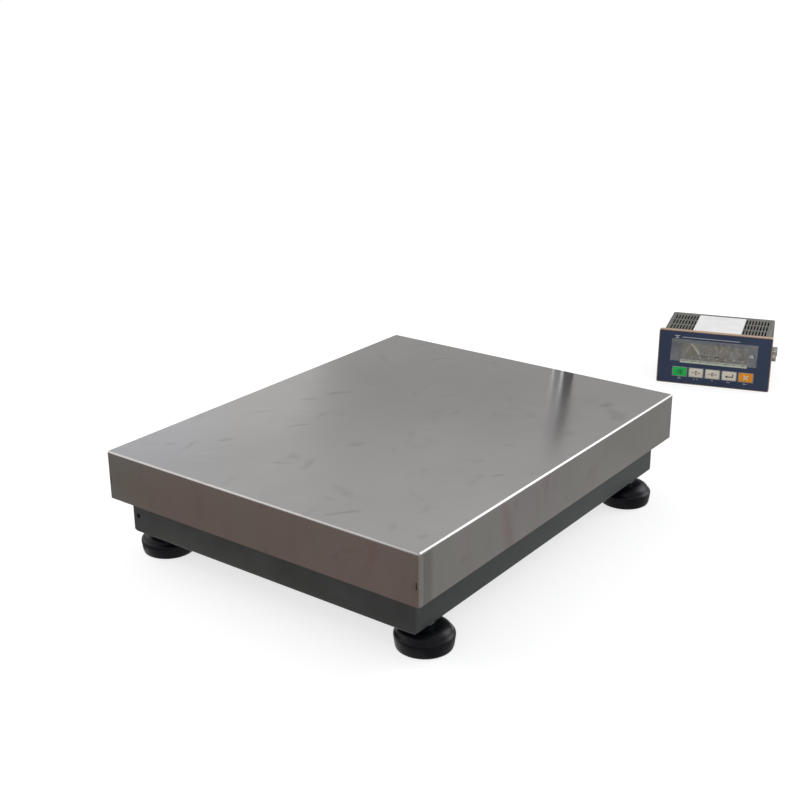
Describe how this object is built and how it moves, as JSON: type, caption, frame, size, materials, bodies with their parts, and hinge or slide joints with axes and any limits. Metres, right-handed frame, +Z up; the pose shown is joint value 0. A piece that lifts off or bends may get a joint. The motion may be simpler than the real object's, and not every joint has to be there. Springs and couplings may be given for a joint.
{
  "type": "platform scale",
  "caption": "Bench platform scale: folded stainless pan on a load cell, dark welded frame with levelling feet, and a panel controller with display and coloured keys.",
  "frame": {"origin": "on the floor under the middle of the whole set's box", "axes": "+Z up, +Y along the platform's long side towards the controller, +X along its short side"},
  "size_m": [0.4, 1.0137, 0.1233],
  "materials": {
    "pan_steel": "satin stainless sheet",
    "frame_paint": "dark green-grey paint",
    "zinc_steel": "zinc plated",
    "cell_aluminium": "milled and clear anodised",
    "black_rubber": "matt",
    "foot_moulding": "glossy moulded",
    "level_acrylic": "clear, with yellow-green fluid",
    "black_plastic": "fine grain",
    "tan_plastic": "tan moulded edge",
    "navy_film": "printed overlay",
    "smoked_window": "smoked acrylic",
    "green_key": "printed key",
    "cream_key": "printed key",
    "orange_key": "printed key",
    "circuit_board": "solder mask",
    "housing_plastic": "olive grey moulding",
    "terminal_green": "moulded connector"
  },
  "bodies": {
    "base": {"base_frame": "frame_paint", "bottom_spacer": "zinc_steel", "lower_cell_bolt_1": "zinc_steel", "lower_cell_bolt_2": "zinc_steel", "load_cell": "cell_aluminium", "stop_bolt_1": "zinc_steel", "stop_bolt_2": "zinc_steel", "stop_bolt_3": "zinc_steel", "stop_bolt_4": "zinc_steel", "stop_nut_1": "zinc_steel", "stop_nut_2": "zinc_steel", "stop_nut_3": "zinc_steel", "stop_nut_4": "zinc_steel", "foot_nut_1": "zinc_steel", "foot_nut_2": "zinc_steel", "foot_nut_3": "zinc_steel", "foot_nut_4": "zinc_steel", "level_body": "cell_aluminium", "level_vial": "level_acrylic", "cable_gland": "black_plastic"},
    "platform": {"upper_frame": "frame_paint", "top_spacer": "zinc_steel", "upper_cell_bolt_1": "zinc_steel", "upper_cell_bolt_2": "zinc_steel", "pan_pad_1": "black_rubber", "pan_pad_2": "black_rubber", "pan_pad_3": "black_rubber", "pan_pad_4": "black_rubber"},
    "pan": {"pan": "pan_steel"},
    "controller": {"front_bezel": "tan_plastic", "front_overlay": "navy_film", "display_window": "smoked_window", "digit_module": "black_plastic", "display_board": "circuit_board", "main_board": "circuit_board", "housing": "housing_plastic", "rear_cover": "housing_plastic", "power_terminal": "terminal_green", "signal_terminal": "terminal_green", "cell_socket": "terminal_green", "panel_clamp_left": "zinc_steel", "panel_clamp_right": "zinc_steel"},
    "foot_1": {"foot_pad_1": "foot_moulding"},
    "stud_1": {"foot_stud_1": "zinc_steel"},
    "foot_2": {"foot_pad_2": "foot_moulding"},
    "stud_2": {"foot_stud_2": "zinc_steel"},
    "foot_3": {"foot_pad_3": "foot_moulding"},
    "stud_3": {"foot_stud_3": "zinc_steel"},
    "foot_4": {"foot_pad_4": "foot_moulding"},
    "stud_4": {"foot_stud_4": "zinc_steel"},
    "function_key": {"key_function": "green_key"},
    "tare_key": {"key_tare": "cream_key"},
    "zero_key": {"key_zero": "cream_key"},
    "enter_key": {"key_enter": "cream_key"},
    "exit_key": {"key_exit": "orange_key"},
    "left_clamp_screw": {"clamp_screw_left": "zinc_steel"},
    "right_clamp_screw": {"clamp_screw_right": "zinc_steel"}
  },
  "joints": [
    {"name": "cell_deflection", "type": "slide", "parent": "base", "child": "platform", "axis": [0, 0, 1], "range_m": [-0.0006, 0], "stiffness_N_per_m": 500000, "springref_m": 0.0002, "deforming": ["load_cell"]},
    {"name": "pan_lift", "type": "slide", "parent": "platform", "child": "pan", "axis": [0, 0, 1], "range_m": [0, 0.08]},
    {"name": "controller_lift", "type": "slide", "parent": "base", "child": "controller", "axis": [0, 0, 1], "range_m": [0, 0.13]},
    {"name": "foot_1_height", "type": "slide", "parent": "base", "child": "foot_1", "axis": [0, 0, 1], "range_m": [-0.012, 0]},
    {"name": "stud_1_turn", "type": "hinge", "parent": "foot_1", "child": "stud_1", "pos_m": [0.17, -0.45687, 0.03], "axis": [0, 0, 1], "range_deg": [-2880, 0]},
    {"name": "foot_2_height", "type": "slide", "parent": "base", "child": "foot_2", "axis": [0, 0, 1], "range_m": [-0.012, 0]},
    {"name": "stud_2_turn", "type": "hinge", "parent": "foot_2", "child": "stud_2", "pos_m": [0.17, -0.05687, 0.03], "axis": [0, 0, 1], "range_deg": [-2880, 0]},
    {"name": "foot_3_height", "type": "slide", "parent": "base", "child": "foot_3", "axis": [0, 0, 1], "range_m": [-0.012, 0]},
    {"name": "stud_3_turn", "type": "hinge", "parent": "foot_3", "child": "stud_3", "pos_m": [-0.17, -0.05687, 0.03], "axis": [0, 0, 1], "range_deg": [-2880, 0]},
    {"name": "foot_4_height", "type": "slide", "parent": "base", "child": "foot_4", "axis": [0, 0, 1], "range_m": [-0.012, 0]},
    {"name": "stud_4_turn", "type": "hinge", "parent": "foot_4", "child": "stud_4", "pos_m": [-0.17, -0.45687, 0.03], "axis": [0, 0, 1], "range_deg": [-2880, 0]},
    {"name": "function_press", "type": "slide", "parent": "controller", "child": "function_key", "axis": [-0.3006, 0.9534, -0.0276], "range_m": [0, 0.0005], "stiffness_N_per_m": 1000, "springref_m": -0.0005},
    {"name": "tare_press", "type": "slide", "parent": "controller", "child": "tare_key", "axis": [-0.3006, 0.9534, -0.0276], "range_m": [0, 0.0005], "stiffness_N_per_m": 1000, "springref_m": -0.0005},
    {"name": "zero_press", "type": "slide", "parent": "controller", "child": "zero_key", "axis": [-0.3006, 0.9534, -0.0276], "range_m": [0, 0.0005], "stiffness_N_per_m": 1000, "springref_m": -0.0005},
    {"name": "enter_press", "type": "slide", "parent": "controller", "child": "enter_key", "axis": [-0.3006, 0.9534, -0.0276], "range_m": [0, 0.0005], "stiffness_N_per_m": 1000, "springref_m": -0.0005},
    {"name": "exit_press", "type": "slide", "parent": "controller", "child": "exit_key", "axis": [-0.3006, 0.9534, -0.0276], "range_m": [0, 0.0005], "stiffness_N_per_m": 1000, "springref_m": -0.0005},
    {"name": "left_screw_travel", "type": "slide", "parent": "controller", "child": "left_clamp_screw", "axis": [0.3006, -0.9534, 0.0276], "range_m": [-0.008, 0.007]},
    {"name": "right_screw_travel", "type": "slide", "parent": "controller", "child": "right_clamp_screw", "axis": [0.3006, -0.9534, 0.0276], "range_m": [-0.008, 0.007]}
  ],
  "couplings": [
    {"joint": "stud_1_turn", "follows": "foot_1_height", "rad_per_m": 4188.8},
    {"joint": "stud_2_turn", "follows": "foot_2_height", "rad_per_m": 4188.8},
    {"joint": "stud_3_turn", "follows": "foot_3_height", "rad_per_m": 4188.8},
    {"joint": "stud_4_turn", "follows": "foot_4_height", "rad_per_m": 4188.8}
  ]
}
